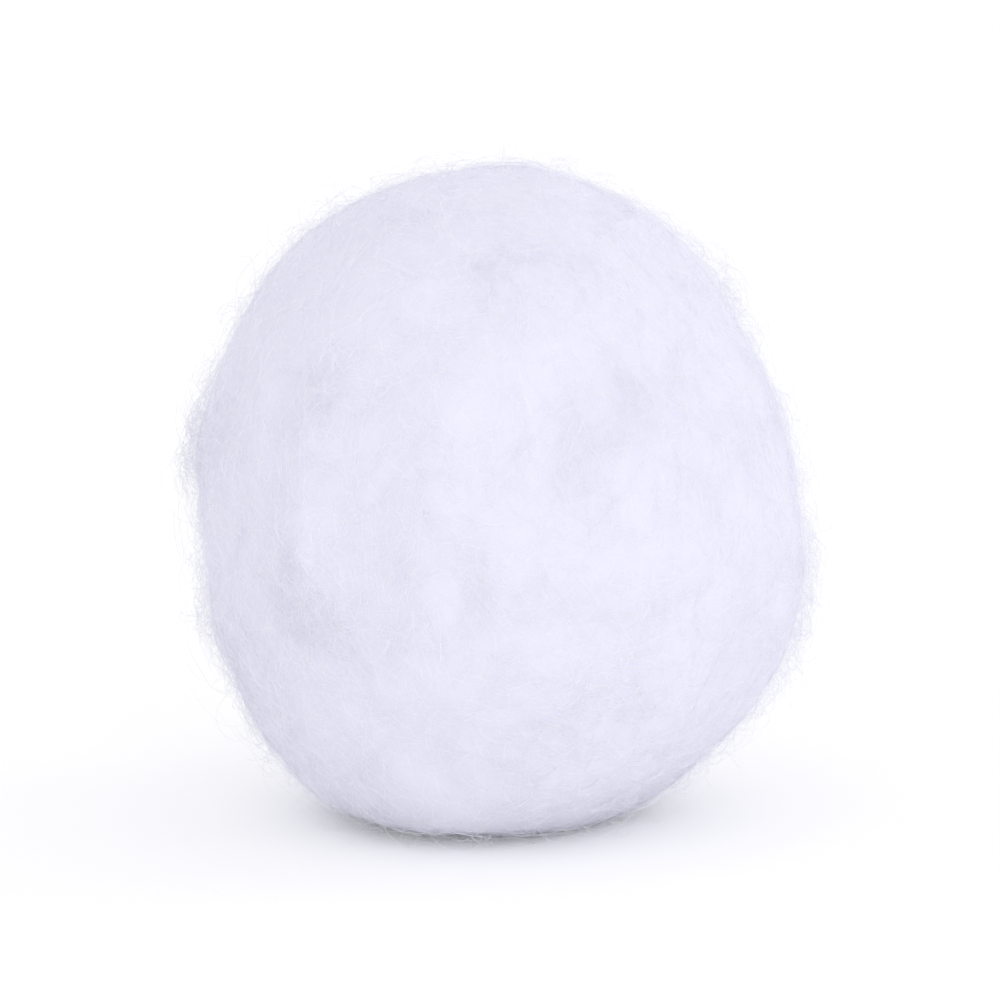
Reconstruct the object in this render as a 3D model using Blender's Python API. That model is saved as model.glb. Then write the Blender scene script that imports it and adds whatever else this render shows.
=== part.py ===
"""A cotton ball, modelled in metres with +Z up, at its real size.

A torn length of carded cotton sliver is wound up and tumbled until it is round. It stays one soft body,
and its surface keeps the marks of how it was made: two gathered poles where the ends of the roll close,
a lap where the edge of the outer turn lies on the turn below, low strand ridges along the winding, and
tufts where loose ends stand out. It rests on a small flat spot, and the origin is on the ground under
the middle of the ball.
"""

import math
from dataclasses import dataclass

import bmesh
import bpy
from mathutils import Matrix, Vector, noise

# Overall size of the ball, without its swellings, and the width of the spot that it rests on.
BALL_WIDTH = 0.0332
BALL_DEPTH = 0.0334
BALL_HEIGHT = 0.0368
FLAT_SPOT_WIDTH = 0.0120

# Round the flat spot the cotton is pressed smooth, and its unevenness comes back over this distance.
FLAT_SPOT_EASE = 0.0045

# The roll's axis leaves the ball at its front pole: this far round from -Y towards +X, and this far up.
POLE_TURN_DEG = 21.0
POLE_RISE_DEG = 15.0

# Each pole is a shallow dimple, with gathers that curl into it.
POLE_DEPTH = 0.0009
POLE_WIDTH = 0.0042
GATHER_COUNT = 6
GATHER_DEPTH = 0.00042
GATHER_REACH = 0.0078
GATHER_CURL = 1.3
GATHER_SHARPNESS = 2.6

# The outer turn's edge winds from one pole to the other. It stands proud by the thickness of the sliver,
# drops over its soft edge, and thins away over its run.
LAP_THICKNESS = 0.00062
LAP_EDGE = 0.00075
LAP_RUN = 0.0064
LAP_START_DEG = 33.0
LAP_PITCH_DEG = 92.0
LAP_TURNS = 1.25
LAP_TAPER_TURNS = 0.16
LAP_PHASE_DEG = 0.0

# Low ridges along the winding, and the uneven fluff over everything.
STRAND_RELIEF = 0.00030
STRAND_WIDTH = 0.0021
STRAND_WAVES = 1.1
FLUFF_RELIEF = 0.00036
FLUFF_SIZE = 0.0058

# Quads along each edge of the cube that the ball is rounded from. Points of them this near the ground
# are put on it, so that the cut at the flat spot leaves no slivers.
GRID = 28
LEVEL_SNAP = 0.00002

# Cotton white with a cool cast.
COTTON_COLOUR = (0.83, 0.83, 0.93, 1.0)
COTTON_ROUGHNESS = 0.95
COTTON_SHEEN = 0.35


@dataclass(frozen=True)
class Swelling:
    """A soft rise of the body, or a hollow where its height is below zero.

    Attributes:
        turn_deg: where it is round the ball, from +X towards +Y.
        rise_deg: how far it is above the ball's middle.
        height: how far it stands out at its top.
        spread: the distance over which it dies away.
    """

    turn_deg: float
    rise_deg: float
    height: float
    spread: float

    def relief(self, direction: Vector) -> float:
        """How far the body stands out here because of this swelling."""
        distance = MEAN_RADIUS * direction.angle(heading(self.turn_deg, self.rise_deg))
        return self.height * math.exp(-((distance / self.spread) ** 2))


# The broad shape: full low down on both sides, slimmer at the upper right, uneven at the back.
BODY_SWELLINGS = (
    Swelling(turn_deg=-8, rise_deg=-26, height=0.00080, spread=0.0064),
    Swelling(turn_deg=190, rise_deg=-52, height=0.00115, spread=0.0085),
    Swelling(turn_deg=-4, rise_deg=40, height=-0.00060, spread=0.0085),
    Swelling(turn_deg=182, rise_deg=38, height=0.00045, spread=0.0070),
    Swelling(turn_deg=184, rise_deg=-20, height=-0.00025, spread=0.0060),
    Swelling(turn_deg=250, rise_deg=34, height=0.00055, spread=0.0080),
    Swelling(turn_deg=226, rise_deg=-14, height=-0.00040, spread=0.0060),
    Swelling(turn_deg=76, rise_deg=14, height=0.00060, spread=0.0090),
    Swelling(turn_deg=124, rise_deg=-30, height=0.00050, spread=0.0080),
    Swelling(turn_deg=104, rise_deg=52, height=-0.00050, spread=0.0080),
)

# Loose ends of the sliver that stand out as small tufts.
TUFTS = (
    Swelling(turn_deg=-12, rise_deg=-9, height=0.00060, spread=0.0022),
    Swelling(turn_deg=-3, rise_deg=-24, height=0.00040, spread=0.0018),
    Swelling(turn_deg=176, rise_deg=9, height=0.00045, spread=0.0020),
    Swelling(turn_deg=192, rise_deg=-20, height=0.00040, spread=0.0019),
    Swelling(turn_deg=64, rise_deg=-6, height=0.00055, spread=0.0023),
    Swelling(turn_deg=142, rise_deg=26, height=0.00045, spread=0.0020),
    Swelling(turn_deg=300, rise_deg=58, height=0.00035, spread=0.0019),
)

MEAN_RADIUS = (BALL_WIDTH + BALL_DEPTH + BALL_HEIGHT) / 6

# The ball is cut off level at its flat spot, so its middle is a little lower than half of a whole one.
LEVEL_SHARE = math.sqrt(1 - (FLAT_SPOT_WIDTH / BALL_WIDTH) ** 2)
HALF_HEIGHT = BALL_HEIGHT / (1 + LEVEL_SHARE)
MIDDLE_HEIGHT = BALL_HEIGHT - HALF_HEIGHT


def heading(turn_deg: float, rise_deg: float) -> Vector:
    """The unit direction at a turn from +X towards +Y and a rise above level."""
    turn, rise = math.radians(turn_deg), math.radians(rise_deg)
    return Vector((math.cos(rise) * math.cos(turn), math.cos(rise) * math.sin(turn), math.sin(rise)))


def smooth_step(share: float) -> float:
    """Goes from 0 to 1 as the share does, level at both ends."""
    share = min(max(share, 0.0), 1.0)
    return share * share * (3 - 2 * share)


def roll_frame() -> Matrix:
    """Turns a direction of the ball into one whose Z is the roll's axis."""
    front_pole = heading(POLE_TURN_DEG - 90, POLE_RISE_DEG)
    return front_pole.to_track_quat("Z", "X").to_matrix().inverted()


def pole_relief(turn: float, distance: float, phase: float) -> float:
    """The dimple at a pole and the gathers that curl into it.

    Args:
        turn: angle round the roll's axis.
        distance: way along the surface from the pole.
        phase: where the gathers of this pole start.
    """
    dimple = -POLE_DEPTH * math.exp(-((distance / POLE_WIDTH) ** 2))
    curled = turn + phase + GATHER_CURL * math.log(1 + distance / POLE_WIDTH)
    crease = (0.5 + 0.5 * math.cos(GATHER_COUNT * curled + math.sin(curled))) ** GATHER_SHARPNESS
    unevenness = 0.65 + 0.35 * math.cos(curled - phase)
    share = distance / GATHER_REACH
    window = share * math.exp((1 - share * share) / 2)
    return dimple - GATHER_DEPTH * crease * unevenness * window


def lap_relief(turn: float, fall: float) -> float:
    """The edge of the outer turn, as it winds from the front pole to the back one.

    Args:
        turn: angle round the roll's axis, from 0 to a full turn.
        fall: angle from the front pole.
    """
    height = 0.0
    for whole_turns in range(math.ceil(LAP_TURNS)):
        wound = whole_turns + turn / math.tau
        edge_fall = math.radians(LAP_START_DEG + LAP_PITCH_DEG * wound)
        beyond = MEAN_RADIUS * (fall - edge_fall)
        taper = smooth_step(wound / LAP_TAPER_TURNS) * smooth_step((LAP_TURNS - wound) / LAP_TAPER_TURNS)
        edge = 0.5 + 0.5 * math.tanh(beyond / LAP_EDGE)
        height += LAP_THICKNESS * taper * edge * math.exp(-max(beyond, 0.0) / LAP_RUN)
    return height


def strand_relief(turn: float, fall: float) -> float:
    """Low ridges that follow the winding and close up at the poles."""
    across = MEAN_RADIUS * fall / STRAND_WIDTH
    place = Vector((STRAND_WAVES * math.cos(turn), STRAND_WAVES * math.sin(turn), across))
    return STRAND_RELIEF * noise.noise(place) * math.sin(fall)


def relief(direction: Vector, to_roll: Matrix) -> float:
    """How far the surface stands out from the plain egg shape in a direction."""
    from_flat_spot = MEAN_RADIUS * direction.angle(Vector((0, 0, -1))) - FLAT_SPOT_WIDTH / 2
    freedom = smooth_step(from_flat_spot / FLAT_SPOT_EASE)
    in_roll = to_roll @ direction
    fall = math.acos(min(max(in_roll.z, -1.0), 1.0))
    turn = math.atan2(in_roll.y, in_roll.x)
    lap_turn = (turn - math.radians(LAP_PHASE_DEG)) % math.tau
    return freedom * (
        sum(swelling.relief(direction) for swelling in BODY_SWELLINGS + TUFTS)
        + pole_relief(turn, MEAN_RADIUS * fall, phase=0.4)
        + pole_relief(turn, MEAN_RADIUS * (math.pi - fall), phase=2.1)
        + lap_relief(lap_turn, fall)
        + strand_relief(turn, fall)
        + FLUFF_RELIEF * noise.noise(direction * MEAN_RADIUS / FLUFF_SIZE)
    )


def surface_point(direction: Vector, to_roll: Matrix) -> Vector:
    """The point of the ball's surface in a direction from its middle."""
    half_size = Vector((BALL_WIDTH / 2, BALL_DEPTH / 2, HALF_HEIGHT))
    on_egg = direction * half_size
    outward = Vector(d / h for d, h in zip(direction, half_size)).normalized()
    return Vector((0, 0, MIDDLE_HEIGHT)) + on_egg + outward * relief(direction, to_roll)


def rounded(corner: Vector) -> Vector:
    """A point of a cube's side made a unit direction, so that equal steps on the side stay nearly equal."""
    return Vector(math.tan(c * math.pi / 4) for c in corner).normalized()


def cotton_material() -> bpy.types.Material:
    """Dull, soft white with a slight cool cast."""
    material = bpy.data.materials.new("cotton")
    material.use_nodes = True
    shader = material.node_tree.nodes["Principled BSDF"]
    shader.inputs["Base Color"].default_value = COTTON_COLOUR
    shader.inputs["Roughness"].default_value = COTTON_ROUGHNESS
    shader.inputs["Metallic"].default_value = 0.0
    shader.inputs["Sheen Weight"].default_value = COTTON_SHEEN
    material.diffuse_color = COTTON_COLOUR
    return material


def make_cotton_ball() -> bpy.types.Object:
    """Rounds a gridded cube into the ball and cuts it level at its flat spot."""
    shape = bmesh.new()
    bmesh.ops.create_cube(shape, size=2)
    bmesh.ops.subdivide_edges(shape, edges=shape.edges[:], cuts=GRID - 1, use_grid_fill=True)
    to_roll = roll_frame()
    for vert in shape.verts:
        vert.co = surface_point(rounded(vert.co), to_roll)
        if abs(vert.co.z) < LEVEL_SNAP:
            vert.co.z = 0
    everything = shape.verts[:] + shape.edges[:] + shape.faces[:]
    bmesh.ops.bisect_plane(
        shape, geom=everything, plane_co=(0, 0, 0), plane_no=(0, 0, 1), clear_inner=True
    )
    rim = [edge for edge in shape.edges if edge.is_boundary]
    bmesh.ops.edgeloop_fill(shape, edges=rim)
    bmesh.ops.recalc_face_normals(shape, faces=shape.faces[:])

    mesh = bpy.data.meshes.new("cotton_ball")
    shape.to_mesh(mesh)
    shape.free()
    mesh.shade_smooth()
    ball = bpy.data.objects.new("cotton_ball", mesh)
    ball.data.materials.append(cotton_material())
    bpy.context.scene.collection.objects.link(ball)
    return ball


def main() -> None:
    """Clears the scene and makes the ball."""
    for leftover in list(bpy.data.objects):
        bpy.data.objects.remove(leftover)
    make_cotton_ball()


main()
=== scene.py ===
"""The look of a cotton ball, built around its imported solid.

The body is the solid's own form with the felted surface of carded cotton. Over it lie five layers of
fibres: those that follow the winding, those that cross it, the curly fuzz that stands off the surface,
the tufts where it is thickest, and long loose strays. Each fibre is a thin closed tube.
"""

import logging
import math
from dataclasses import dataclass
from enum import Enum
from typing import NamedTuple

import bpy
import numpy as np
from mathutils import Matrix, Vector, noise
from mathutils.bvhtree import BVHTree


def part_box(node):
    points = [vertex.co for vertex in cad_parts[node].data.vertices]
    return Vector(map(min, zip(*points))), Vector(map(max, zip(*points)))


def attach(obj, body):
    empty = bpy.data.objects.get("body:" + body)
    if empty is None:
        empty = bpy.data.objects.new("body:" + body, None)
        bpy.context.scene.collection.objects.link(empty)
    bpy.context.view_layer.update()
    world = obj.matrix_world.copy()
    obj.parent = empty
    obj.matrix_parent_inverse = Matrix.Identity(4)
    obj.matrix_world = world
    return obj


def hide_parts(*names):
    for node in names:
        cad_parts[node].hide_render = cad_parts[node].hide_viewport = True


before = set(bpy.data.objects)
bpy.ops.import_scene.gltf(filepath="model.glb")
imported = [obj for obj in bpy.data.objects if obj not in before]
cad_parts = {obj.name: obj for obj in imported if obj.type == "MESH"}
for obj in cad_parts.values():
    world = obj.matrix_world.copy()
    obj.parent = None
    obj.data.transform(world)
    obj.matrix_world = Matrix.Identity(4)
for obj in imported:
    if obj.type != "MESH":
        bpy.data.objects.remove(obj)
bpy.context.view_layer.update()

log = logging.getLogger("cotton_ball")

MM = 0.001
NODE = "cotton_ball"
BODY = "root"

# Each wisp turns on by this from the last one, which spreads them evenly over the ball.
GOLDEN_ANGLE = math.pi * (3 - math.sqrt(5))

# A direction that hardly any fibre takes, from which a fibre's sides are worked out.
ASIDE = np.array([0.31, 0.47, 0.83])

# Two layers' clumps lie this far apart in the noise for each one that their seeds differ.
CLUMP_STEP = 1.7

# A Mix node's two number inputs, which share their names with those for colours.
MIX_FIRST = 2
MIX_SECOND = 3

# The least and the most of something.
Span = tuple[float, float]

# What something is for a bend or wobble of nothing, and how much more it is for one of one.
Graded = tuple[float, float]

Colour = tuple[float, float, float, float]


class Course(Enum):
    """The way that a layer's fibres start out over the surface."""

    WOUND = "along the winding"
    CROSSED = "any way"


class Ending(Enum):
    """What a fibre does at its far end."""

    BURIED = "goes back into the body"
    FREE = "stands free"


def only(obj: bpy.types.Object) -> None:
    """Selects this object alone and makes it active.

    Args:
        obj: the object to work on.
    """
    bpy.ops.object.select_all(action="DESELECT")
    obj.select_set(True)
    bpy.context.view_layer.objects.active = obj


def unit(vectors: np.ndarray) -> np.ndarray:
    """Each row made one long."""
    return vectors / np.maximum(np.linalg.norm(vectors, axis=-1, keepdims=True), 1e-12)


def direction(turn: np.ndarray | float, rise: np.ndarray | float) -> np.ndarray:
    """The unit vectors at a turn from +X towards +Y and a rise above level, both in radians."""
    turn, rise = np.broadcast_arrays(turn, rise)
    return np.stack([np.cos(rise) * np.cos(turn), np.cos(rise) * np.sin(turn), np.sin(rise)], axis=-1)


def eased(share: np.ndarray) -> np.ndarray:
    """Goes from 0 to 1 as the share does, level at both ends."""
    share = np.clip(share, 0, 1)
    return share * share * (3 - 2 * share)


@dataclass(frozen=True)
class Swells:
    """Smooth random swells of one size.

    Attributes:
        height: how high the highest of them reach, about.
        size: how wide they are, in all directions or in each, in the units of their places.
        start: how far into the noise they start, so that no two kinds fall together.
    """

    height: float
    size: float | tuple[float, float, float]
    start: float = 0.0

    def at(self, places: np.ndarray) -> np.ndarray:
        """The height of the swells at each place.

        Args:
            places: one place in each row.

        Returns:
            One height for each place.
        """
        spots = places / np.array(self.size) + self.start
        return self.height * np.array([noise.noise(Vector(spot)) for spot in spots])


def added(kinds: tuple[Swells, ...], places: np.ndarray) -> np.ndarray:
    """The heights of several kinds of swells at each place, one on the other."""
    return sum(kind.at(places) for kind in kinds)


def node_in(tree: bpy.types.NodeTree, kind: str, **settings: object) -> bpy.types.Node:
    """Adds a shader node.

    Args:
        tree: the node tree that it goes into.
        kind: its type, without the words Shader and Node.
        settings: values for its inputs, by name with _ for a space.

    Returns:
        The new node.
    """
    new = tree.nodes.new("ShaderNode" + kind)
    for name, value in settings.items():
        new.inputs[name.replace("_", " ")].default_value = value
    return new


def mixed(
    tree: bpy.types.NodeTree, first: bpy.types.NodeSocket, second: bpy.types.NodeSocket, share: float
) -> bpy.types.NodeSocket:
    """Mixes two numbers in a node tree.

    Args:
        tree: the node tree.
        first: the output that gives the first number.
        second: the output that gives the second one.
        share: how much of the second one goes into the mix.

    Returns:
        The output that gives the mix.
    """
    mix = node_in(tree, "Mix", Factor=share)
    mix.data_type = "FLOAT"
    tree.links.new(first, mix.inputs[MIX_FIRST])
    tree.links.new(second, mix.inputs[MIX_SECOND])
    return mix.outputs[0]


def toned(
    tree: bpy.types.NodeTree, level: bpy.types.NodeSocket, low: Colour, high: Colour, span: Span
) -> bpy.types.NodeSocket:
    """Turns a number into a colour between two.

    Args:
        tree: the node tree.
        level: the output that gives the number.
        low: the colour at the span's start and below it.
        high: the colour at its end and above it.
        span: the numbers that the colour changes between.

    Returns:
        The output that gives the colour.
    """
    ramp = tree.nodes.new("ShaderNodeValToRGB")
    for element, place, colour in zip(ramp.color_ramp.elements, span, (low, high)):
        element.position = place
        element.color = colour
    tree.links.new(level, ramp.inputs["Fac"])
    return ramp.outputs["Color"]


@dataclass(frozen=True)
class BodyFinish:
    """The felted surface of the body: dull white that lets light in, with fine strands along the winding
    and painted shade in their hollows.

    Attributes:
        colour: the cotton's colour where it is loose.
        hollow_shade_and_patch_colour: painted shade in the small hollows of the strands and felting, and
            the colour of the greyer random patches.
        tone_span: the pattern's levels that the colour changes between.
        roughness: how dull it is.
        depth: how far light wanders inside it.
        relief: height of the finest strands, which are only in the shading.
        strand_fineness: strands in each unit of the winding attribute.
        felt_fineness: specks of felting in each metre.
        patch_fineness: paler and greyer patches in each metre.
        felt_share: how much of the pattern is felting, beside the strands.
        patch_share: how much of the tone is patches, beside that pattern.
    """

    colour: Colour = (0.885, 0.881, 0.995, 1)
    hollow_shade_and_patch_colour: Colour = (0.865, 0.861, 0.980, 1)
    tone_span: Span = (0.32, 0.60)
    roughness: float = 0.95
    depth: float = 1.2 * MM
    relief: float = 0.07 * MM
    strand_fineness: float = 2.3
    felt_fineness: float = 1.9 / MM
    patch_fineness: float = 0.16 / MM
    felt_share: float = 0.45
    patch_share: float = 0.35

    def material(self) -> bpy.types.Material:
        """Makes the material, which reads the body's own winding attribute.

        Returns:
            The new material.
        """
        made = bpy.data.materials.new("felted_cotton")
        made.use_nodes = True
        tree = made.node_tree
        shader = tree.nodes["Principled BSDF"]
        shader.inputs["Roughness"].default_value = self.roughness
        shader.inputs["Subsurface Weight"].default_value = 1.0
        shader.inputs["Subsurface Radius"].default_value = (1.0, 1.0, 1.0)
        shader.inputs["Subsurface Scale"].default_value = self.depth
        shader.inputs["Specular IOR Level"].default_value = 0.0
        shader.subsurface_method = "BURLEY"

        pattern, patches = self.patterns(tree)
        # The colour greys where the strands and felting sink, which is painted shade in their hollows. It
        # also greys in the random patches, which are the cotton's own tone.
        tone = mixed(tree, pattern, patches, self.patch_share)
        colour = toned(tree, tone, self.hollow_shade_and_patch_colour, self.colour, self.tone_span)
        tree.links.new(colour, shader.inputs["Base Color"])
        bump = node_in(tree, "Bump", Strength=0.8, Distance=self.relief)
        tree.links.new(pattern, bump.inputs["Height"])
        tree.links.new(bump.outputs["Normal"], shader.inputs["Normal"])
        return made

    def patterns(self, tree: bpy.types.NodeTree) -> tuple[bpy.types.NodeSocket, bpy.types.NodeSocket]:
        """Adds the noises: strands that follow the winding, felting, and broad patches.

        Args:
            tree: the material's node tree.

        Returns:
            The outputs that give the pattern of strands and felting, and the patches.
        """
        winding = tree.nodes.new("ShaderNodeAttribute")
        winding.attribute_name = "winding"
        place = tree.nodes.new("ShaderNodeTexCoord")
        strands = node_in(
            tree, "TexNoise", Scale=self.strand_fineness, Detail=5.0, Roughness=0.62, Distortion=0.6
        )
        felt = node_in(
            tree, "TexNoise", Scale=self.felt_fineness, Detail=4.0, Roughness=0.6, Distortion=0.9
        )
        patches = node_in(tree, "TexNoise", Scale=self.patch_fineness, Detail=2.0, Roughness=0.5)
        tree.links.new(winding.outputs["Vector"], strands.inputs["Vector"])
        tree.links.new(place.outputs["Object"], felt.inputs["Vector"])
        tree.links.new(place.outputs["Object"], patches.inputs["Vector"])
        pattern = mixed(tree, strands.outputs["Fac"], felt.outputs["Fac"], self.felt_share)
        return pattern, patches.outputs["Fac"]


@dataclass(frozen=True)
class FibreFinish:
    """Thin cotton fibres: dull white, a little paler or greyer from one to the next.

    Attributes:
        name: the material's name.
        pale: the colour of the palest fibres.
        grey: the colour of the greyest ones.
        roughness: how dull they are.
    """

    name: str
    pale: Colour = (0.947, 0.943, 1.0, 1)
    grey: Colour = (0.917, 0.913, 0.990, 1)
    roughness: float = 0.8

    def material(self) -> bpy.types.Material:
        """Makes the material, which reads each fibre's own tone attribute.

        Returns:
            The new material.
        """
        made = bpy.data.materials.new(self.name)
        made.use_nodes = True
        tree = made.node_tree
        shader = tree.nodes["Principled BSDF"]
        shader.inputs["Roughness"].default_value = self.roughness
        shader.inputs["Specular IOR Level"].default_value = 0.0
        tone = tree.nodes.new("ShaderNodeAttribute")
        tone.attribute_name = "tone"
        colour = toned(tree, tone.outputs["Fac"], self.grey, self.pale, (0.0, 1.0))
        tree.links.new(colour, shader.inputs["Base Color"])
        return made


@dataclass
class Winding:
    """The way that the sliver is wound: round an axis that leaves the ball at its front pole.

    Attributes:
        centre: the middle of the ball.
        pole_turn: how far round from -Y towards +X the front pole is, in degrees.
        pole_rise: how far up it is, in degrees.
        swirl: how much the winding turns in towards the poles.
        swirl_reach: how far from a pole it still does, in radians.
        pole_blur: what keeps the swirl from winding up without end at a pole.
        girth: the ball's radius in the pattern's places, where a smaller one makes longer strands.
        drift: how the strands wander across the winding, by direction and in millimetres.
    """

    centre: np.ndarray
    pole_turn: float = 21.0
    pole_rise: float = 15.0
    swirl: float = 0.9
    swirl_reach: float = 0.55
    pole_blur: float = 0.08
    girth: float = 2.6
    drift: tuple[Swells, ...] = (Swells(2.6, 1 / 2.6, 5), Swells(0.7, 1 / 7, 9))

    def axes(self) -> np.ndarray:
        """The roll's own X, Y and Z axes as rows, with Z out through the front pole."""
        pole = Vector(direction(math.radians(self.pole_turn - 90), math.radians(self.pole_rise)))
        return np.array(pole.to_track_quat("Z", "X").to_matrix()).T

    def turn_and_fall(self, directions: np.ndarray) -> tuple[np.ndarray, np.ndarray]:
        """The angle round the roll's axis and the angle from the front pole, for each direction."""
        own = directions @ self.axes().T
        return np.arctan2(own[:, 1], own[:, 0]), np.arccos(np.clip(own[:, 2], -1, 1))

    def along(self, directions: np.ndarray) -> np.ndarray:
        """The unit tangent along the winding, which turns in towards the poles.

        Args:
            directions: unit vectors from the ball's middle.

        Returns:
            One unit tangent for each direction.
        """
        pole = self.axes()[2]
        _, fall = self.turn_and_fall(directions)
        around = unit(np.cross(pole, directions))
        inwards = unit(np.cross(around, directions)) * np.sign(np.cos(fall))[:, None]
        from_pole = np.minimum(fall, math.pi - fall)
        share = self.swirl * np.exp(-((from_pole / self.swirl_reach) ** 2))
        return unit(around + share[:, None] * inwards)

    def coordinates(self, directions: np.ndarray, radius: np.ndarray) -> np.ndarray:
        """Places in which a pattern is long along the winding and fine across it, with no seam.

        Args:
            directions: unit vectors from the ball's middle.
            radius: how far out the surface is in each of them.

        Returns:
            One place for each direction, in which one unit is about a millimetre across the winding.
        """
        turn, fall = self.turn_and_fall(directions)
        turn = turn + self.swirl * np.log(self.pole_blur + np.sin(fall))
        across = radius * fall / MM + added(self.drift, directions)
        out = self.girth * np.sin(fall)
        return np.stack([out * np.cos(turn), out * np.sin(turn), across], axis=1)


@dataclass
class Surface:
    """How far the body reaches in every direction from its middle, as a map by turn and rise.

    Attributes:
        centre: the point that it is measured from.
        reach: the reach, with a row for each rise from the lowest up and a column for each turn.
    """

    centre: np.ndarray
    reach: np.ndarray

    @classmethod
    def of(cls, obj: bpy.types.Object, centre: np.ndarray, rows: int = 180) -> "Surface":
        """Measures a body's mesh.

        Args:
            obj: the body, which has one surface in each direction from the centre.
            centre: the point that it is measured from.
            rows: the map's steps from the bottom of the ball to its top.

        Returns:
            The map.
        """
        tree = BVHTree.FromObject(obj, bpy.context.evaluated_depsgraph_get())
        middle = Vector(centre)
        rises = math.pi * (np.arange(rows + 1) / rows - 0.5)
        turns = math.pi * np.arange(2 * rows) / rows
        ways = direction(turns[None, :], rises[:, None])
        reach = [[tree.ray_cast(middle, Vector(way))[3] for way in row] for row in ways]
        return cls(centre, np.array(reach))

    def radius(self, directions: np.ndarray) -> np.ndarray:
        """How far the body reaches in each direction, between the map's four nearest values.

        Args:
            directions: unit vectors from the ball's middle.

        Returns:
            One reach for each direction.
        """
        rows, columns = self.reach.shape[0] - 1, self.reach.shape[1]
        row = (np.arcsin(np.clip(directions[:, 2], -1, 1)) / math.pi + 0.5) * rows
        column = (np.arctan2(directions[:, 1], directions[:, 0]) / math.tau % 1) * columns
        low, left = np.minimum(row.astype(int), rows - 1), column.astype(int) % columns
        up, along = row - low, column - np.floor(column)
        right = (left + 1) % columns
        below = self.reach[low, left] * (1 - along) + self.reach[low, right] * along
        above = self.reach[low + 1, left] * (1 - along) + self.reach[low + 1, right] * along
        return below * (1 - up) + above * up


@dataclass
class CottonBody:
    """The soft body of the ball, with the solid's own form and a felted surface.

    Attributes:
        finish: its finish.
        winding: the way that it is wound.
        merge: how near each other the solid's points become one.
        voxel: the size of its mesh's squares.
        soften_factor: how far each round of smoothing moves a point.
        soften_rounds: how many rounds take out the solid's facets.
        strands: the strands along the winding, in the winding's own places.
        patches: where the strands stand out more or less.
        patch_level: how much they stand out between those patches.
        relief: the felting and the unevenness, from fine to broad.
        foot_ease: the height over which the relief dies away towards the flat spot.
        foot_gap: how far the body stays off the ground.
    """

    finish: BodyFinish
    winding: Winding
    merge: float = 0.001 * MM
    voxel: float = 0.26 * MM
    soften_factor: float = 0.5
    soften_rounds: int = 40
    strands: tuple[Swells, ...] = (
        Swells(0.050 * MM, (1, 1, 1 / 0.8)),
        Swells(0.025 * MM, (1 / 2.1, 1 / 2.1, 1 / 1.9), 7),
    )
    patches: Swells = Swells(0.9, 5.2 * MM, 3)
    patch_level: float = 0.65
    relief: tuple[Swells, ...] = (
        Swells(0.036 * MM, 0.31 * MM, 3),
        Swells(0.060 * MM, 0.62 * MM),
        Swells(0.040 * MM, 2.1 * MM, 41),
        Swells(0.080 * MM, 4.4 * MM, 23),
    )
    foot_ease: float = 2.2 * MM
    foot_gap: float = 0.01 * MM

    def build(self) -> bpy.types.Object:
        """Makes the body from a copy of the solid and stands it in for the solid.

        Returns:
            The body.
        """
        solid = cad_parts[NODE]
        body = solid.copy()
        body.data = solid.data.copy()
        # The copy is a piece of its own, so what the frame says of the solid comes off it.
        for key in [key for key in body.keys() if key.startswith("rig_")]:
            del body[key]
        body.parent = None
        body.name = body.data.name = "cotton_body"
        bpy.context.scene.collection.objects.link(body)
        self.remesh(body)
        self.felt(body)
        body.data.materials.clear()
        body.data.materials.append(self.finish.material())
        body.data.shade_smooth()
        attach(body, BODY)
        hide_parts(NODE)
        return body

    def remesh(self, body: bpy.types.Object) -> None:
        """Merges the copied triangles and gives the body an even mesh without the solid's facets.

        Args:
            body: the copy of the solid.
        """
        only(body)
        bpy.ops.object.mode_set(mode="EDIT")
        bpy.ops.mesh.select_all(action="SELECT")
        bpy.ops.mesh.remove_doubles(threshold=self.merge)
        bpy.ops.object.mode_set(mode="OBJECT")
        voxels = body.modifiers.new("voxels", "REMESH")
        voxels.mode = "VOXEL"
        voxels.voxel_size = self.voxel
        soften = body.modifiers.new("soften", "SMOOTH")
        soften.factor = self.soften_factor
        soften.iterations = self.soften_rounds
        for name in ("voxels", "soften"):
            bpy.ops.object.modifier_apply(modifier=name)

    def felt(self, body: bpy.types.Object) -> None:
        """Raises the strands and the felting, and writes the winding for the finish.

        Args:
            body: the body with its even mesh.
        """
        mesh = body.data
        places = np.zeros(len(mesh.vertices) * 3, np.float32)
        normals = np.zeros(len(mesh.vertices) * 3, np.float32)
        mesh.vertices.foreach_get("co", places)
        mesh.vertices.foreach_get("normal", normals)
        places, normals = places.reshape(-1, 3).astype(float), normals.reshape(-1, 3)
        outwards = places - self.winding.centre
        wound = self.winding.coordinates(unit(outwards), np.linalg.norm(outwards, axis=1))
        standing_out = self.patch_level + self.patches.at(places)
        height = added(self.strands, wound) * standing_out + added(self.relief, places)
        height = height * eased(places[:, 2] / self.foot_ease)
        places += normals * height[:, None]
        places[:, 2] = np.maximum(places[:, 2], self.foot_gap)
        mesh.vertices.foreach_set("co", places.astype(np.float32).ravel())
        kept = mesh.attributes.new("winding", "FLOAT_VECTOR", "POINT")
        kept.data.foreach_set("vector", wound.astype(np.float32).ravel())
        mesh.update()


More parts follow.
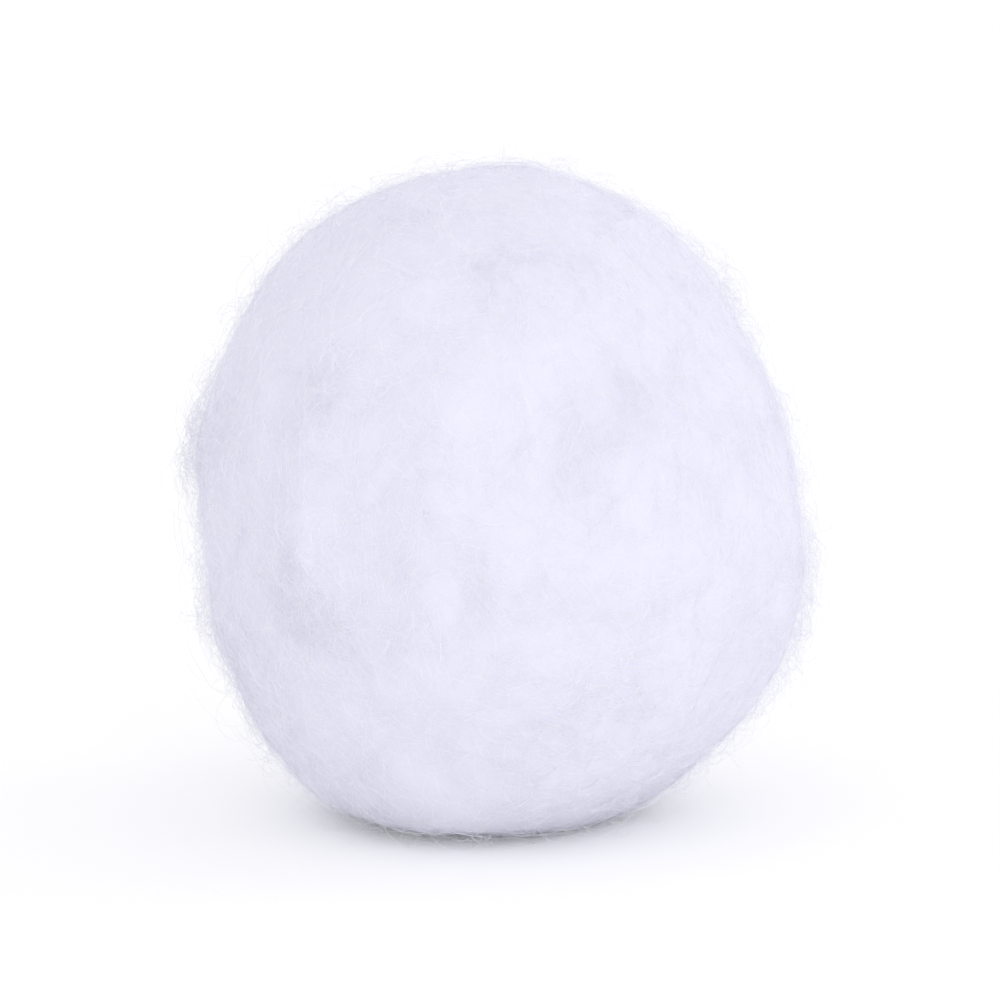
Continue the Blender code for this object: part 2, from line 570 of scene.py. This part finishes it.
@dataclass
class FibreShape:
    """One straight fibre, modelled once: a closed three-sided tube, one long and one in radius.

    Attributes:
        segments: the stretches that it can bend between.
    """

    segments: int

    def build(self) -> tuple[np.ndarray, list[tuple[int, ...]]]:
        """Models the fibre by hand and reads its points and faces.

        Returns:
            Its points, one row each, and its faces as point numbers.
        """
        bpy.ops.object.select_all(action="DESELECT")
        bpy.ops.mesh.primitive_cylinder_add(vertices=3, radius=1, depth=1, location=(0, 0, 0.5))
        made = bpy.context.active_object
        bpy.ops.object.transform_apply(location=True, rotation=True, scale=True)
        bpy.ops.object.mode_set(mode="EDIT")
        for cut in range(1, self.segments):
            bpy.ops.mesh.select_all(action="SELECT")
            bpy.ops.mesh.bisect(plane_co=(0, 0, cut / self.segments), plane_no=(0, 0, 1))
        bpy.ops.object.mode_set(mode="OBJECT")
        points = np.array([tuple(vert.co) for vert in made.data.vertices])
        faces = [tuple(face.vertices) for face in made.data.polygons]
        bpy.data.objects.remove(made)
        return points, faces


class Tuft(NamedTuple):
    """A place where the fuzz is thickest.

    Attributes:
        turn: where it is round the ball, from +X towards +Y, in degrees.
        rise: how far it is above the ball's middle, in degrees.
        width: how far its wisps stray from there, in degrees.
    """

    turn: float
    rise: float
    width: float


@dataclass(frozen=True)
class Variety:
    """How much the fibres of one wisp differ from each other.

    Attributes:
        length: the shortest and the longest, as shares of the wisp's own length.
        bend: how much they differ in their bend.
        phase: how much they differ in where their waves start, in radians.
        axis: how much they differ in what they bend round.
        rise: how much they differ in their rise, as a share of it.
        ahead: how far along the wisp they start, as a share of their length.
    """

    length: Span = (0.75, 1.2)
    bend: float = 0.25
    phase: float = 0.6
    axis: float = 0.3
    rise: float = 0.5
    ahead: float = 0.25


@dataclass
class Strands:
    """What a layer's fibres start from, one entry for each fibre.

    Attributes:
        way: the direction of its start from the ball's middle.
        heading: the unit tangent that it starts out along.
        length: its length.
        rise: how far it stands off the body.
        radius: its radius.
        bend: how much it bends, and to which side.
        wobble: how much the bend changes along it.
        phase: where that change starts.
        axis: what a standing fibre bends round.
    """

    way: np.ndarray
    heading: np.ndarray
    length: np.ndarray
    rise: np.ndarray
    radius: np.ndarray
    bend: np.ndarray
    wobble: np.ndarray
    phase: np.ndarray
    axis: np.ndarray


@dataclass
class FibreLayer:
    """One layer of fibres over the body, singly or in wisps.

    Attributes:
        name: the piece's name.
        seed: the start of its random draws.
        wisps: how many wisps it has.
        fibres_each: how many fibres each wisp has, one where they lie singly.
        segments: the stretches of each fibre.
        length: the shortest and the longest wisp.
        radius: the thinnest and the thickest fibre's radius.
        course: the way that the fibres start out.
        curl: how much the fibres curl, in degrees for each millimetre.
        rise: how far the least and the most raised ones stand off the body.
        spread: how far the wisps stray from their course, in degrees.
        wisp_width: how far the fibres of a wisp lie to either side of its middle.
        wisp_spread: how far they stray from its way, in degrees.
        tufts: the places that wisps gather at, or none where they lie all round the ball.
        sunk: how far the fibres start below the body's surface.
        variety: how much the fibres of a wisp differ.
        scatter: how far wisps stray from their even places, where 3.5 is as far as the next one.
        rarity: how rare the high ones are, where 1 is as many high as low.
        clump_share: how much more or less the fibres of a clump stand up.
        clump_size: how wide those clumps are.
        sway: how the winding's wisps sway together, by direction and in degrees.
        tip: the radius that a fibre thins towards at its ends, as a share of its middle's.
        blunt: how far before that its ends are, as a share of its length.
        floor_gap: how far the fibres stay off the ground.
    """

    name: str
    seed: int
    wisps: int
    fibres_each: int
    segments: int
    length: Span
    radius: Span
    course: Course
    curl: float
    rise: Span
    spread: float = 0.0
    wisp_width: float = 0.0
    wisp_spread: float = 5.0
    tufts: tuple[Tuft, ...] = ()
    sunk: float = 0.05 * MM
    variety: Variety = Variety()
    scatter: float = 1.2
    rarity: float = 2.2
    clump_share: float = 0.25
    clump_size: float = 2.4 * MM
    sway: Swells = Swells(70, 1 / 3.6, 31)
    tip: float = 0.4
    blunt: float = 0.02
    floor_gap: float = 0.03 * MM

    def build(self, surface: Surface, winding: Winding, finish: bpy.types.Material) -> bpy.types.Object:
        """Makes the layer as one piece.

        Args:
            surface: the body's surface.
            winding: the way that the body is wound.
            finish: the fibres' material.

        Returns:
            The piece.
        """
        draws = np.random.default_rng(self.seed)
        strands = self.draw(draws, surface, winding)
        paths = self.walk(strands, surface)
        paths[:, :, 2] = np.maximum(paths[:, :, 2], strands.radius[:, None] + self.floor_gap)
        points, faces = self.tubes(paths, strands.radius)
        mesh = bpy.data.meshes.new(self.name)
        mesh.from_pydata(points.reshape(-1, 3).tolist(), [], faces)
        count, points_each = points.shape[:2]
        tone = mesh.attributes.new("tone", "FLOAT", "POINT")
        tone.data.foreach_set("value", np.repeat(draws.random(count), points_each).astype(np.float32))
        mesh.materials.append(finish)
        piece = bpy.data.objects.new(self.name, mesh)
        bpy.context.scene.collection.objects.link(piece)
        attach(piece, BODY)
        return piece

    def tubes(self, paths: np.ndarray, radius: np.ndarray) -> tuple[np.ndarray, list[list[int]]]:
        """Bends a copy of the straight fibre along each path.

        Args:
            paths: the fibres' places, by fibre and by step.
            radius: each fibre's radius.

        Returns:
            The points, by fibre, and the faces of all fibres as point numbers.
        """
        points, faces = FibreShape(self.segments).build()
        ring = np.rint(points[:, 2] * self.segments).astype(int)
        across, up = self.frames(paths)
        along = np.linspace(self.blunt, 1 - self.blunt, self.segments + 1)
        taper = self.tip + (1 - self.tip) * np.sqrt(np.sin(along * math.pi))
        thick = (radius[:, None] * taper)[:, ring]
        sideways = across[:, ring] * (thick * points[:, 0])[..., None]
        upwards = up[:, ring] * (thick * points[:, 1])[..., None]
        starts = [fibre * len(points) for fibre in range(len(paths))]
        numbered = [[start + point for point in face] for start in starts for face in faces]
        return paths[:, ring] + sideways + upwards, numbered

    def draw(self, draws: np.random.Generator, surface: Surface, winding: Winding) -> Strands:
        """Draws where the wisps are and what their fibres are like.

        Args:
            draws: the source of the random draws.
            surface: the body's surface.
            winding: the way that the body is wound.

        Returns:
            What the fibres start from.
        """
        wisps, each, variety = self.wisps, self.fibres_each, self.variety
        count = wisps * each
        own = 0.0 if each == 1 else 1.0
        radius = float(np.mean(surface.reach))
        middle = self.wisp_places(draws)
        start = self.starting(draws, middle, winding)
        clumps = Swells(self.clump_share, self.clump_size, CLUMP_STEP * self.seed)
        lift = draws.random(wisps) ** self.rarity
        rise = (self.rise[0] + (self.rise[1] - self.rise[0]) * lift) * (1 + clumps.at(middle * radius))
        length = np.repeat(draws.uniform(*self.length, wisps), each) * draws.uniform(*variety.length, count)
        bend = np.repeat(draws.normal(size=wisps), each) + own * variety.bend * draws.normal(size=count)
        wobble = np.repeat(draws.normal(size=wisps), each)
        phase = np.repeat(draws.uniform(0, math.tau, wisps), each)
        phase = phase + own * draws.uniform(-variety.phase, variety.phase, count)
        axis = np.repeat(unit(draws.normal(size=(wisps, 3))), each, axis=0)
        axis = unit(axis + own * variety.axis * draws.normal(size=(count, 3)))
        rise = np.repeat(rise, each) * (1 + own * draws.uniform(-variety.rise, variety.rise, count))
        way, start = np.repeat(middle, each, axis=0), np.repeat(start, each, axis=0)
        sideways = self.wisp_width / radius * draws.normal(size=count)
        ahead = own * variety.ahead * length / radius * draws.normal(size=count)
        way = unit(way + np.cross(way, start) * sideways[:, None] + start * ahead[:, None])
        off = own * np.radians(self.wisp_spread) * draws.normal(size=count)
        onwards = unit(start - way * np.sum(way * start, axis=1, keepdims=True))
        onwards = onwards * np.cos(off)[:, None] + np.cross(way, onwards) * np.sin(off)[:, None]
        thin = draws.uniform(*self.radius, count)
        return Strands(way, onwards, length, rise, thin, bend, wobble, phase, axis)

    def walk(self, strands: Strands, surface: Surface) -> np.ndarray:
        """Walks every fibre at once, in the layer's own way.

        Args:
            strands: what the fibres start from.
            surface: the body's surface.

        Returns:
            The fibres' places, by fibre and by step.
        """
        raise NotImplementedError

    def wisp_places(self, draws: np.random.Generator) -> np.ndarray:
        """Places the wisps all round the ball, or near the tufts.

        Args:
            draws: the source of the random draws.

        Returns:
            The direction of each wisp from the ball's middle.
        """
        order = np.arange(self.wisps)
        even = direction(order * GOLDEN_ANGLE, np.arcsin(1 - (2 * order + 1) / self.wisps))
        way = unit(even + self.scatter / math.sqrt(self.wisps) * draws.normal(size=(self.wisps, 3)))
        if self.tufts:
            turn, rise, width = np.radians(np.array(self.tufts)).T
            which = draws.integers(0, len(self.tufts), self.wisps)
            stray = width[which][:, None] * draws.normal(size=(self.wisps, 3))
            way = unit(direction(turn, rise)[which] + stray)
        return way

    def starting(self, draws: np.random.Generator, way: np.ndarray, winding: Winding) -> np.ndarray:
        """Chooses the way that each wisp starts out.

        Args:
            draws: the source of the random draws.
            way: the direction of each wisp's start from the ball's middle.
            winding: the way that the body is wound.

        Returns:
            One unit tangent for each wisp.
        """
        along = winding.along(way)
        if self.course is Course.WOUND:
            off = np.radians(draws.normal(size=self.wisps) * self.spread + self.sway.at(way))
            off = off + math.pi * draws.integers(0, 2, self.wisps)
        else:
            off = draws.uniform(0, math.tau, self.wisps)
        side = np.cross(way, along)
        return along * np.cos(off)[:, None] + side * np.sin(off)[:, None]

    @staticmethod
    def frames(paths: np.ndarray) -> tuple[np.ndarray, np.ndarray]:
        """Works out two directions across each fibre at each of its places.

        Args:
            paths: the fibres' places, by fibre and by step.

        Returns:
            The two unit vectors, by fibre and by step, which turn as little as they can from step to step.
        """
        ahead = unit(np.gradient(paths, axis=1))
        across = [unit(np.cross(ahead[:, 0], ASIDE))]
        for step in range(1, paths.shape[1]):
            last, way = across[-1], ahead[:, step]
            across.append(unit(last - way * np.sum(last * way, axis=1, keepdims=True)))
        across = np.stack(across, axis=1)
        return across, np.cross(ahead, across)


@dataclass
class LyingLayer(FibreLayer):
    """Fibres that lie along the body, with both ends in it.

    Attributes:
        wave: how much they wave up and down, as a share of their rise.
        wave_turns: how many waves a fibre has, and how many more for a wobble of one.
        flatness: how soon they reach their rise and leave it, where 1 is an even arch.
        bend_change: how much a wobble of one changes their bend.
        bend_turns: how often it does so along a fibre.
    """

    wave: float = 0.4
    wave_turns: Graded = (1.1, 0.3)
    flatness: float = 0.8
    bend_change: float = 0.9
    bend_turns: float = 2.4

    def walk(self, strands: Strands, surface: Surface) -> np.ndarray:
        """Walks every fibre at once over the surface.

        Args:
            strands: what the fibres start from.
            surface: the body's surface.

        Returns:
            The fibres' places, by fibre and by step.
        """
        way, ahead, places = strands.way, strands.heading, []
        stretch = strands.length / self.segments
        turns = self.wave_turns[0] + self.wave_turns[1] * strands.wobble
        for step in range(self.segments + 1):
            round_here = step / self.segments * math.tau
            arch = math.sin(round_here / 2) ** self.flatness
            wave = self.wave * np.sin(strands.phase + round_here * turns)
            height = strands.rise * arch * (1 + wave) - self.sunk * (1 - arch)
            reach = surface.radius(way) + height
            places.append(surface.centre + way * reach[:, None])
            change = self.bend_change * np.sin(strands.phase + self.bend_turns * round_here)
            turned = math.radians(self.curl) * stretch / MM * (strands.bend + change * strands.wobble)
            side = np.cross(way, ahead)
            ahead = ahead * np.cos(turned)[:, None] + side * np.sin(turned)[:, None]
            moved = (stretch / reach)[:, None]
            way = unit(way * np.cos(moved) + ahead * np.sin(moved))
            ahead = unit(ahead - way * np.sum(way * ahead, axis=1, keepdims=True))
        return np.stack(places, axis=1)


@dataclass
class StandingLayer(FibreLayer):
    """Curly fibres that stand off the body.

    Attributes:
        lean: how steeply they leave the body in degrees, and how much more for a wobble of one.
        tightness: how much of the layer's curl a straight fibre has, and how much more for a bend of one.
        twist: how far what they bend round turns along a fibre for a wobble of one, in radians.
        droop: how strongly a buried fibre turns back into the body.
        droop_limit: where this grows no more, as a share of the fibre's own rise.
        ending: what they do at their far ends.
    """

    lean: Graded = (25.0, 20.0)
    tightness: Graded = (0.5, 0.6)
    twist: float = 1.6
    droop: float = 0.7
    droop_limit: float = 1.5
    ending: Ending = Ending.BURIED

    def walk(self, strands: Strands, surface: Surface) -> np.ndarray:
        """Walks every fibre at once through the air over the body.

        Args:
            strands: what the fibres start from.
            surface: the body's surface.

        Returns:
            The fibres' places, by fibre and by step.
        """
        lean = np.radians(self.lean[0] + self.lean[1] * np.abs(strands.wobble))[:, None]
        ahead = strands.heading * np.cos(lean) + strands.way * np.sin(lean)
        start = surface.radius(strands.way) - self.sunk
        place = surface.centre + strands.way * start[:, None]
        stretch = strands.length / self.segments
        tightness = self.tightness[0] + self.tightness[1] * np.abs(strands.bend)
        turned = math.radians(self.curl) * stretch / MM * tightness
        second_axis = np.cross(strands.axis, strands.way)
        places = [place]
        for step in range(self.segments):
            along = (step + 1) / self.segments
            place = place + ahead * stretch[:, None]
            places.append(place)
            outward = unit(place - surface.centre)
            height = np.linalg.norm(place - surface.centre, axis=1) - surface.radius(outward)
            share = np.clip(height / strands.rise, 0, self.droop_limit)[:, None]
            turn = strands.phase[:, None] + self.twist * along * strands.wobble[:, None]
            axis = unit(strands.axis * np.cos(turn) + second_axis * np.sin(turn))
            ahead = unit(ahead + np.cross(axis, ahead) * turned[:, None])
            leaving = np.maximum(np.sum(ahead * outward, axis=1, keepdims=True), 0)
            ahead = ahead - outward * leaving * np.minimum(share, 1) ** 2
            if self.ending is Ending.BURIED:
                ahead = ahead - outward * self.droop * along**2 * share
            ahead = unit(ahead)
        return np.stack(places, axis=1)


@dataclass(frozen=True)
class Lamp:
    """A soft square lamp that faces the ball.

    Attributes:
        name: its name.
        place: where it stands, from the middle of the picture.
        size: the side of its square.
        level: the light that it adds, as a share of the plain level.
    """

    name: str
    place: tuple[float, float, float]
    size: float
    level: float

    def build(self, aim: Vector) -> None:
        """Sets the lamp up.

        Args:
            aim: the middle of the picture.
        """
        data = bpy.data.lights.new(self.name, "AREA")
        data.size = self.size
        # The power at which a dull white face at the ball has this level.
        data.energy = self.level * math.pi**2 * Vector(self.place).length_squared
        lamp = bpy.data.objects.new(self.name, data)
        lamp.location = aim + Vector(self.place)
        lamp.rotation_euler = Vector(self.place).to_track_quat("Z", "Y").to_euler()
        bpy.context.scene.collection.objects.link(lamp)


@dataclass
class Studio:
    """A white floor, light from all round, two soft lamps on the right, and the photograph's view.

    Attributes:
        aim: the middle of the picture.
        view_rise: how far above level the camera is, in degrees.
        distance: from the camera to the ball.
        picture_width: the width of what the picture shows, at the ball.
        sensor_width: the camera's own width, in millimetres.
        surround: the level of the light from all round.
        lamps: the lamps that add to it, one from the front and one from the side.
        floor_radius: how far the floor reaches.
        floor_colour: the floor's colour.
        floor_lift: what brings the pale floor up to white for the camera alone.
    """

    aim: Vector
    view_rise: float = 12.0
    distance: float = 0.55
    picture_width: float = 56.1 * MM
    sensor_width: float = 36.0
    surround: float = 0.875
    lamps: tuple[Lamp, ...] = (
        Lamp("key", (0.32, -0.77, 0.08), size=0.18, level=0.13),
        Lamp("rim", (0.80, 0.20, 0.50), size=0.40, level=0.04),
    )
    floor_radius: float = 1.6
    floor_colour: Colour = (0.975, 0.975, 0.98, 1)
    floor_lift: float = 0.145

    def floor(self) -> None:
        """Lays a wide white floor that keeps the ball's shadow."""
        bpy.ops.object.select_all(action="DESELECT")
        bpy.ops.mesh.primitive_circle_add(
            vertices=96, radius=self.floor_radius, fill_type="NGON", location=(0, 0, 0)
        )
        made = bpy.context.active_object
        made.name = made.data.name = "floor"
        made.data.materials.append(self.floor_material())

    def floor_material(self) -> bpy.types.Material:
        """Makes the floor's dull white, with a little glow that only the camera sees.

        Returns:
            The new material.
        """
        material = bpy.data.materials.new("white_floor")
        material.use_nodes = True
        tree = material.node_tree
        shader = tree.nodes["Principled BSDF"]
        shader.inputs["Base Color"].default_value = self.floor_colour
        shader.inputs["Roughness"].default_value = 1.0
        shader.inputs["Specular IOR Level"].default_value = 0.0
        shader.inputs["Emission Color"].default_value = (1, 1, 1, 1)
        seen = tree.nodes.new("ShaderNodeLightPath")
        lift = tree.nodes.new("ShaderNodeMath")
        lift.operation = "MULTIPLY"
        lift.inputs[1].default_value = self.floor_lift
        tree.links.new(seen.outputs["Is Camera Ray"], lift.inputs[0])
        tree.links.new(lift.outputs[0], shader.inputs["Emission Strength"])
        material.cycles.emission_sampling = "NONE"
        return material

    def world(self) -> None:
        """Sets even white light all round, which is also what stands behind the floor."""
        world = bpy.data.worlds.new("studio")
        bpy.context.scene.world = world
        world.use_nodes = True
        background = world.node_tree.nodes["Background"]
        background.inputs["Color"].default_value = (1, 1, 1, 1)
        background.inputs["Strength"].default_value = self.surround

    def camera(self) -> None:
        """Sets up the photograph's view, straight on and a little from above."""
        rise = math.radians(self.view_rise)
        back = Vector((0, -math.cos(rise), math.sin(rise)))
        data = bpy.data.cameras.new("camera")
        data.sensor_width = self.sensor_width
        data.lens = self.sensor_width * self.distance / self.picture_width
        data.clip_start, data.clip_end = 0.01, 20
        camera = bpy.data.objects.new("camera", data)
        camera.location = self.aim + back * self.distance
        camera.rotation_euler = back.to_track_quat("Z", "Y").to_euler()
        bpy.context.scene.collection.objects.link(camera)
        bpy.context.scene.camera = camera

    def build(self) -> None:
        """Sets up the floor, the light and the camera."""
        self.floor()
        self.world()
        for lamp in self.lamps:
            lamp.build(self.aim)
        self.camera()
        bpy.context.scene.view_settings.view_transform = "Standard"


# The solid's own seven tufts, and five more places where loose ends stand out.
TUFTS = (
    Tuft(turn=-12, rise=-9, width=5),
    Tuft(turn=-3, rise=-24, width=5),
    Tuft(turn=176, rise=9, width=5),
    Tuft(turn=192, rise=-20, width=5),
    Tuft(turn=64, rise=-6, width=6),
    Tuft(turn=142, rise=26, width=5),
    Tuft(turn=300, rise=58, width=5),
    Tuft(turn=-60, rise=30, width=7),
    Tuft(turn=-128, rise=-14, width=7),
    Tuft(turn=-100, rise=62, width=7),
    Tuft(turn=20, rise=40, width=6),
    Tuft(turn=232, rise=22, width=6),
)

# The picture is centred this far below the middle of the solid.
AIM_DROP = 0.5 * MM

LAYERS = (
    LyingLayer(
        name="wound_wisps",
        seed=11,
        wisps=640,
        fibres_each=6,
        segments=7,
        length=(4 * MM, 9 * MM),
        radius=(0.008 * MM, 0.014 * MM),
        course=Course.WOUND,
        spread=22,
        curl=13,
        rise=(0.05 * MM, 0.38 * MM),
        wisp_width=0.55 * MM,
    ),
    LyingLayer(
        name="down",
        seed=23,
        wisps=6000,
        fibres_each=1,
        segments=5,
        length=(1.6 * MM, 3.6 * MM),
        radius=(0.006 * MM, 0.011 * MM),
        course=Course.CROSSED,
        curl=45,
        rise=(0.10 * MM, 0.80 * MM),
        wave=0.3,
    ),
    StandingLayer(
        name="fuzz",
        seed=37,
        wisps=3900,
        fibres_each=1,
        segments=8,
        length=(2.5 * MM, 5 * MM),
        radius=(0.007 * MM, 0.012 * MM),
        course=Course.CROSSED,
        curl=42,
        rise=(0.35 * MM, 1.7 * MM),
    ),
    StandingLayer(
        name="tufts",
        seed=41,
        wisps=320,
        fibres_each=5,
        segments=9,
        length=(2.5 * MM, 5 * MM),
        radius=(0.007 * MM, 0.012 * MM),
        course=Course.CROSSED,
        curl=36,
        rise=(0.8 * MM, 2.4 * MM),
        wisp_width=0.35 * MM,
        wisp_spread=22,
        tufts=TUFTS,
        lean=(35.0, 20.0),
    ),
    StandingLayer(
        name="stray_fibres",
        seed=53,
        wisps=1600,
        fibres_each=1,
        segments=10,
        length=(2.5 * MM, 6 * MM),
        radius=(0.007 * MM, 0.011 * MM),
        course=Course.CROSSED,
        curl=30,
        rise=(0.8 * MM, 3.0 * MM),
        lean=(38.0, 20.0),
        ending=Ending.FREE,
    ),
)


def main() -> None:
    """Builds the ball's pieces in order, then the studio around them."""
    logging.basicConfig(level=logging.INFO, format="%(message)s")
    low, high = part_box(NODE)
    winding = Winding(centre=np.array((low + high) / 2))
    body = CottonBody(finish=BodyFinish(), winding=winding).build()
    log.info("%s: %d faces", body.name, len(body.data.polygons))
    surface = Surface.of(body, winding.centre)
    finish = FibreFinish(name="cotton_fibres").material()
    for layer in LAYERS:
        piece = layer.build(surface, winding, finish)
        fibres = layer.wisps * layer.fibres_each
        log.info("%s: %d fibres, %d faces", piece.name, fibres, len(piece.data.polygons))
    Studio(aim=(low + high) / 2 - Vector((0, 0, AIM_DROP))).build()


if __name__ == "__main__":
    main()
